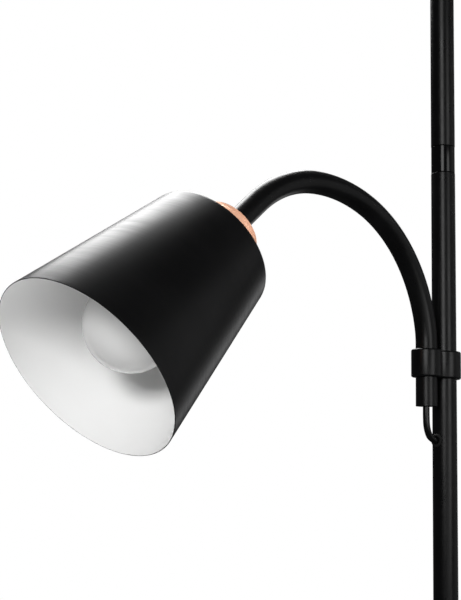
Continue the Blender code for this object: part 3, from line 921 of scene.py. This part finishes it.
def arm_pieces():
    """(piece number, start, end, hinge, bodies) of each piece of the arm.

    A piece reaches from the middle of one link to the middle of the next.
    """
    hinges = hinge_distances()
    bounds = [0.0]
    bounds += [(a + b) / 2 for a, b in zip(hinges, hinges[1:])]
    bounds.append(ARM_LENGTH)
    found = []
    for i, hinge in enumerate(hinges):
        bodies = (JOINTS[i]["parent"], JOINTS[i]["child"])
        found.append((i + 1, bounds[i], bounds[i + 1], hinge, bodies))
    return found


def arm_run(name, outer, bore, start, end, spacing, sides, material):
    """Tube, or a rod where the bore is 0, along the arm's centreline."""
    count = max(2, round((end - start) / spacing))
    places = [arm_frame(start + (end - start) * i / count) for i in range(count + 1)]
    rings = [ring_at(place, outer, 0, sides) for place in places]
    if bore:
        rings += [ring_at(place, bore, 0, sides) for place in reversed(places)]
    else:
        rings = [[places[0].translation]] + rings + [[places[-1].translation]]
    bm = bmesh.new()
    skin(bm, rings, closed=bore > 0)
    return add_piece(name, bm, [material])


def bend_with_arm(piece, hinge, start, end):
    """Bakes the piece's placement into its mesh. Its stretch round the hinge is worked out but not
    used.
    """
    reach = min(hinge - start, end - hinge) - BLEND_MARGIN
    near = arm_frame(hinge - reach).translation
    far = arm_frame(hinge + reach).translation
    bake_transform(piece)


def flexible_arm():
    """Sleeve, hose and lead, one piece of each to a hinge.

    The hinges split each into six lengths in the CAD model. A piece of sleeve or hose stands
    for the length before its hinge, and the last piece for the length after it as well. A piece
    of lead stands for the length after its hinge, because the loop stands for the first one.
    """
    hose_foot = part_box("arm_ferrule")[1].z - ARM_FOOT.z + HOSE_SETBACK
    for number, start, end, hinge, bodies in arm_pieces():
        last = number == len(HINGES)
        runs = (
            ("arm_sleeve", SLEEVE_RADIUS, SLEEVE_BORE, 0.0, SLEEVE_SPACING, SLEEVE_SIDES, "sleeve"),
            ("arm_hose", HOSE_RADIUS, HOSE_BORE, hose_foot, CORE_SPACING, HOSE_SIDES, "steel"),
            ("arm_lead", LEAD_RADIUS, 0.0, LEAD_TOP, CORE_SPACING, LEAD_SIDES, "lead_pvc"),
        )
        for kind, outer, bore, foot, spacing, sides, slot in runs:
            low = start or foot
            name = kind + "_bend_" + str(number)
            piece = arm_run(name, outer, bore, low, end, spacing, sides, MATERIALS[slot])
            bend_with_arm(piece, hinge, start, end)
            stood_for = [kind + "_" + str(number + (kind == "arm_lead"))]
            if last and kind != "arm_lead":
                stood_for.append(kind + "_" + str(number + 1))
            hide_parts(*stood_for)


def smooth_through(points, steps):
    """Catmull-Rom curve through the route's points."""
    padded = [2 * points[0] - points[1]] + points + [2 * points[-1] - points[-2]]
    curve = []
    for a, b, c, d in zip(padded, padded[1:], padded[2:], padded[3:]):
        for i in range(steps):
            t = i / steps
            straight = 2 * b + (c - a) * t
            bow = (2 * a - 5 * b + 4 * c - d) * t**2 + (3 * b - a - 3 * c + d) * t**3
            curve.append(0.5 * (straight + bow))
    return curve + [points[-1]]


def lead_loop():
    """The lead out of the arm's lower end, round and into the pole, on the CAD model's route."""
    hole = middle_height("lead_grommet")
    route = [arm_frame(LEAD_TOP).translation, Vector((ARM_FOOT.x, 0, hole + LOOP_START))]
    route += [Vector((x, 0, hole + rise)) for x, rise in LOOP_ROUTE]
    points = smooth_through(route, ROUTE_STEPS)
    curve = bpy.data.curves.new("arm_lead_loop", "CURVE")
    curve.dimensions = "3D"
    curve.bevel_depth = LEAD_RADIUS
    curve.bevel_resolution = LEAD_ROUNDNESS
    curve.use_fill_caps = True
    spline = curve.splines.new("POLY")
    spline.points.add(len(points) - 1)
    for slot, point in zip(spline.points, points):
        slot.co = (*point, 1)
    spline.use_smooth = True
    curve.materials.append(MATERIALS["lead_pvc"])
    piece = bpy.data.objects.new("arm_lead_loop", curve)
    bpy.context.scene.collection.objects.link(piece)
    stands_for(piece, "root", "lead_pvc", "arm_lead_1")


# ---------------------------------------------------------------- lamp heads


def head_cup(prefix, body, place):
    low, high, hole, radius = extent(prefix + "_cup", place)
    inner = radius - CUP_WALL
    profile = [
        (hole, low + CUP_WALL, 0),
        (hole, low, FINE),
        (radius, low, CUP_SHOULDER),
        (radius, high, EASED),
        (inner, high, FINE),
        (inner, low + CUP_WALL, CUP_SHOULDER - CUP_WALL),
    ]
    piece = turned(prefix + "_copper_cup", profile, place, [MATERIALS["copper"]], WIDE_SIDES)
    stands_for(piece, body, "copper", prefix + "_cup")


def shade_sizes(prefix, place):
    """Plate height, rim height, and the cone's radius at each."""
    pairs = measured(prefix + "_shade", place)
    plate = min(z for _, z in pairs)
    rim, large = max((z, r) for r, z in pairs)
    start_radius, start_height = max((r, z) for r, z in pairs if z < rim - RIM_BAND)
    slope = (large - start_radius) / (rim - start_height)
    return plate, rim, large - slope * (rim - plate), large


def head_shade(prefix, body, place):
    plate, rim, small, large = shade_sizes(prefix, place)
    hole = extent(prefix + "_shade", place)[2]
    wall = SHADE_WALL / math.cos(math.atan2(large - small, rim - plate))
    lift = SHADE_WALL * (large - small) / (rim - plate)
    profile = [
        (hole, plate, 0),
        (small, plate, SHADE_BEND),
        (large, rim, RIM_ROUND),
        (large - wall, rim, RIM_ROUND),  # the white inside starts here
        (small - wall + lift, plate + SHADE_WALL, SHADE_BEND - SHADE_WALL),
        (hole, plate + SHADE_WALL, 0),
    ]
    materials = [MATERIALS["shade_paint"], MATERIALS["shade_white"]]
    piece = turned(prefix + "_cone_shade", profile, place, materials, WIDE_SIDES, inside_from=3)
    stands_for(piece, body, "shade_paint", prefix + "_shade")


def shade_ring(prefix, body, place):
    low, high, bore, radius = extent(prefix + "_shade_ring", place)
    neck = radius - GRIP_NECK
    profile = [
        (bore, low, 0),
        (radius, low, FINE),
        (radius, low + GRIP_FLANGE, EASED),
        (neck, low + GRIP_SLOPE, SOFT),  # ribbed, with the next
        (neck, high, SOFT),
        (bore, high, FINE),
    ]
    plastic = [MATERIALS["black_plastic"]]
    ring = turned(prefix + "_grip_ring", profile, place, plastic, RIBBED_SIDES, ribs=(3, 4))
    stands_for(ring, body, "black_plastic", prefix + "_shade_ring")


def lamp_holder(prefix, body, place):
    low, high, hole, flange = extent(prefix + "_holder", place)
    plate = extent(prefix + "_shade", place)[0]
    skirt = flange - FLANGE_WIDTH
    profile = [
        (hole, low, 0),
        (HOLDER_BACK, low, FULL),
        (HOLDER_BODY, low + HOLDER_TAPER, HOLDER_ROUND),
        (HOLDER_BODY, plate - FLANGE_BACK, FINE),
        (flange, plate - FLANGE_BACK, EASED),
        (flange, plate - FLANGE_FRONT, EASED),
        (skirt, plate - FLANGE_FRONT, CRISP),
        (skirt, high, FULL),
        (HOLDER_MOUTH, high, SOFT),
        (HOLDER_BORE, high - HOLDER_CHAMFER, EASED),
        (HOLDER_BORE, plate - HOLDER_FLOOR, FINE),
        (hole, plate - HOLDER_FLOOR, 0),
    ]
    piece = turned(prefix + "_lamp_holder", profile, place, [MATERIALS["black_plastic"]])
    stands_for(piece, body, "black_plastic", prefix + "_holder")


def opal_bulb(prefix, body, place):
    """Globe and neck in one blown shape. The neck flows into the globe."""
    low, high, _, radius = extent(prefix + "_bulb_globe", place)
    middle = high - radius
    tangent = Vector((radius * math.cos(BULB_JOIN), middle + radius * math.sin(BULB_JOIN)))
    outline = [Vector((BULB_NECK, low))]
    for i in range(1, NECK_STEPS):
        t = i / NECK_STEPS
        ease = t * t * (3 - 2 * t)
        across = BULB_NECK + (tangent.x - BULB_NECK) * ease
        outline.append(Vector((across, low + (tangent.y - low) * t)))
    for i in range(GLOBE_STEPS + 1):
        angle = BULB_JOIN + (math.pi / 2 - BULB_JOIN) * i / GLOBE_STEPS
        outline.append(Vector((radius * math.cos(angle), middle + radius * math.sin(angle))))
    outline[-1].x = 0.0
    centre = Vector((0, middle))
    shrink = 1 - GLASS / radius
    inner = [centre + (point - centre) * shrink for point in outline]
    inner[0] = Vector((BULB_NECK - GLASS, low))
    profile = [(p.x, p.y, 0) for p in reversed(inner)] + [(p.x, p.y, 0) for p in outline]
    piece = turned(prefix + "_opal_bulb", profile, place, [MATERIALS["opal_glass"]])
    stands_for(piece, body, "opal_glass", prefix + "_bulb_globe")


def lamp_head(prefix, body, place):
    head_cup(prefix, body, place)
    head_shade(prefix, body, place)
    shade_ring(prefix, body, place)
    lamp_holder(prefix, body, place)
    opal_bulb(prefix, body, place)


def head_frames():
    """The two heads' frames, reading first: origin at the cup's foot, +Z out of the shade."""
    end = arm_frame(ARM_LENGTH)
    foot = extent("reading_cup", end)[0]
    reading = end @ Matrix.Translation((0, 0, foot))
    return reading, upright(z=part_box("torch_cup")[0].z)


def finish_cad_nodes():
    """The inner pieces keep their CAD shape and get real surfaces."""
    for name, node in NODES.items():
        if node.hide_render:
            continue
        slot = CAD_SLOTS[name]
        if name == "arm_ferrule":
            slot = "dark_steel"
        node.data.materials.clear()
        node.data.materials.append(MATERIALS[slot])


# ---------------------------------------------------------------- studio


def pale_floor():
    """A floor that glows a little, like a light table, so that it is pale to its edges.

    It doesn't light the lamp, which the light called floor_bounce does, and it doesn't show in
    the lamp's gloss, which stays black.
    """
    s = Surface("pale_floor", 0.55, Specular_IOR_Level=0.3, Emission_Strength=FLOOR_GLOW)
    s.shader.inputs["Emission Color"].default_value = WHITE
    s.colours(s.noise(1.5, 4), (0.3, (0.80, 0.80, 0.80)), (0.7, (0.84, 0.84, 0.84)))
    s.rough(s.noise(8, 3), 0.5, 0.65)
    s.bump(s.noise(60, 4), 0.0002)
    bm = bmesh.new()
    bmesh.ops.create_grid(
        bm, x_segments=FLOOR_CELLS, y_segments=FLOOR_CELLS, size=FLOOR_HALF_WIDTH
    )
    floor = add_piece("studio_floor", bm, [s.material])
    floor.visible_diffuse = False
    floor.visible_glossy = False


def soft_box(name, place, target, width, height, power, shine=True, fill=True):
    """Area light. With no shine it leaves no highlight. With no fill it leaves nothing else."""
    data = bpy.data.lights.new(name, "AREA")
    data.shape = "RECTANGLE"
    data.size = width
    data.size_y = height
    data.energy = power
    light = bpy.data.objects.new(name, data)
    bpy.context.scene.collection.objects.link(light)
    light.location = place
    light.rotation_mode = "QUATERNION"
    light.rotation_quaternion = (Vector(target) - Vector(place)).to_track_quat("-Z", "Y")
    light.visible_camera = False
    light.visible_glossy = shine
    light.visible_diffuse = fill


def soft_ceiling():
    """Even light from above over the whole floor, with no highlight and a very soft shadow."""
    data = bpy.data.lights.new("soft_ceiling", "SUN")
    data.energy = CEILING_STRENGTH
    data.angle = CEILING_SPREAD
    light = bpy.data.objects.new("soft_ceiling", data)
    bpy.context.scene.collection.objects.link(light)
    light.location = (0, 0, CEILING_HEIGHT)
    light.visible_glossy = False


def around_pole(degrees, distance, height):
    """A place round the pole, by the angle to the right of the camera as the pole sees it."""
    heading = math.atan2(-CAMERA_HEADING[1], -CAMERA_HEADING[0])
    angle = heading + math.radians(degrees)
    return Vector((distance * math.cos(angle), distance * math.sin(angle), height))


def studio_lights(head):
    """Lights aimed at the reading head, then lights whose reflections run down the pole."""
    for name, direction, reach, size, power, shine in HEAD_LIGHTS:
        place = head + Vector(direction) * reach
        soft_box(name, place, head, size, size, power, shine=shine)
    level = middle_height("arm_clamp")
    for name, degrees, width, height, rise, power in POLE_LIGHTS:
        target = Vector((0, 0, level + rise / 2))
        place = around_pole(degrees, POLE_LIGHT_DISTANCE, level + rise)
        soft_box(name, place, target, width, height, power, fill=False)
    soft_ceiling()
    place, target = (0, 0, BOUNCE_HEIGHT), (0, 0, 1)
    soft_box("floor_bounce", place, target, BOUNCE_SIZE, BOUNCE_SIZE, BOUNCE_POWER, shine=False)


def studio_world():
    """White behind the object, and a dim even light from everywhere."""
    world = bpy.data.worlds.new("studio")
    bpy.context.scene.world = world
    world.use_nodes = True
    tree = world.node_tree
    seen = tree.nodes["Background"]
    seen.inputs["Color"].default_value = WHITE
    glow = tree.nodes.new("ShaderNodeBackground")
    glow.inputs["Color"].default_value = WORLD_COLOUR
    glow.inputs["Strength"].default_value = WORLD_GLOW
    path = tree.nodes.new("ShaderNodeLightPath")
    mix = tree.nodes.new("ShaderNodeMixShader")
    tree.links.new(path.outputs["Is Camera Ray"], mix.inputs["Fac"])
    tree.links.new(glow.outputs["Background"], mix.inputs[1])
    tree.links.new(seen.outputs["Background"], mix.inputs[2])
    tree.links.new(mix.outputs["Shader"], tree.nodes["World Output"].inputs["Surface"])


def camera():
    forward = Vector((*CAMERA_HEADING, 0)).normalized()
    across = forward.cross(Vector((0, 0, 1)))
    look = forward * math.cos(CAMERA_PITCH) + Vector((0, 0, math.sin(CAMERA_PITCH)))
    rise = across.cross(look)
    right = across * math.cos(CAMERA_ROLL) + rise * math.sin(CAMERA_ROLL)
    up = rise * math.cos(CAMERA_ROLL) - across * math.sin(CAMERA_ROLL)
    data = bpy.data.cameras.new("camera")
    data.lens = LENS
    data.sensor_width = SENSOR_WIDTH
    data.clip_start = CLIP_START
    obj = bpy.data.objects.new("camera", data)
    bpy.context.scene.collection.objects.link(obj)
    turn = Matrix((right, up, -look)).transposed().to_4x4()
    place = (*CAMERA_PLACE, middle_height("arm_clamp") - CAMERA_BELOW_CLAMP)
    obj.matrix_world = Matrix.Translation(place) @ turn
    bpy.context.scene.camera = obj


def main():
    camera()
    base_felt()
    base_cover()
    cord_gland()
    base_collar()
    pole_tubes()
    pole_couplers()
    lead_grommet()
    arm_clamp()
    clamp_screws()
    flexible_arm()
    lead_loop()
    reading, torch = head_frames()
    lamp_head("reading", "reading_head", reading)
    lamp_head("torch", "root", torch)
    finish_cad_nodes()
    pale_floor()
    studio_world()
    studio_lights(reading @ Vector((0, 0, LIT_POINT)))
    bpy.context.scene.view_settings.view_transform = "Standard"


main()
